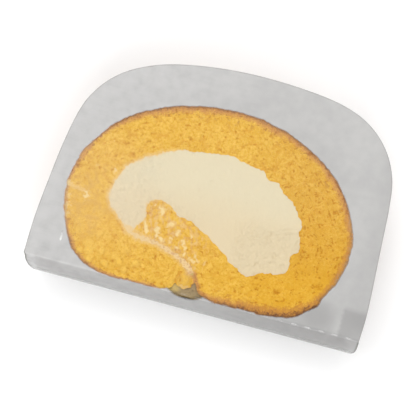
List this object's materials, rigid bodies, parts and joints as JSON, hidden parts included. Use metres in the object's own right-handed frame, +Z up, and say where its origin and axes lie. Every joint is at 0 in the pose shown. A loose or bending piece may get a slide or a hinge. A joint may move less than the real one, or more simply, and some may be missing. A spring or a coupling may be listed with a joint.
{
  "type": "swiss roll cake slice in folded film",
  "caption": "Slice of sponge roll with a thick cream filling, lying on its back between the two panels of its folded clear film wrap.",
  "frame": {"origin": "middle of the bounding box's underside, on the surface that the rear film panel lies on", "axes": "+X along the film's front crease, to the right as seen from above; +Y from the crease towards the panels' round tops; +Z up, through the slice from its rear cut face to its front one"},
  "size_m": [0.1086, 0.0776, 0.0284],
  "materials": {
    "sponge": "open egg-yellow crumb at the cut, thin brown baked skin round the outside",
    "cream": "smooth pale ivory cream, softly matt",
    "film": "thin clear film, slightly milky, with a glossy face"
  },
  "bodies": {
    "root": {"sponge": "sponge", "cream": "cream", "film": "film"}
  },
  "joints": []
}
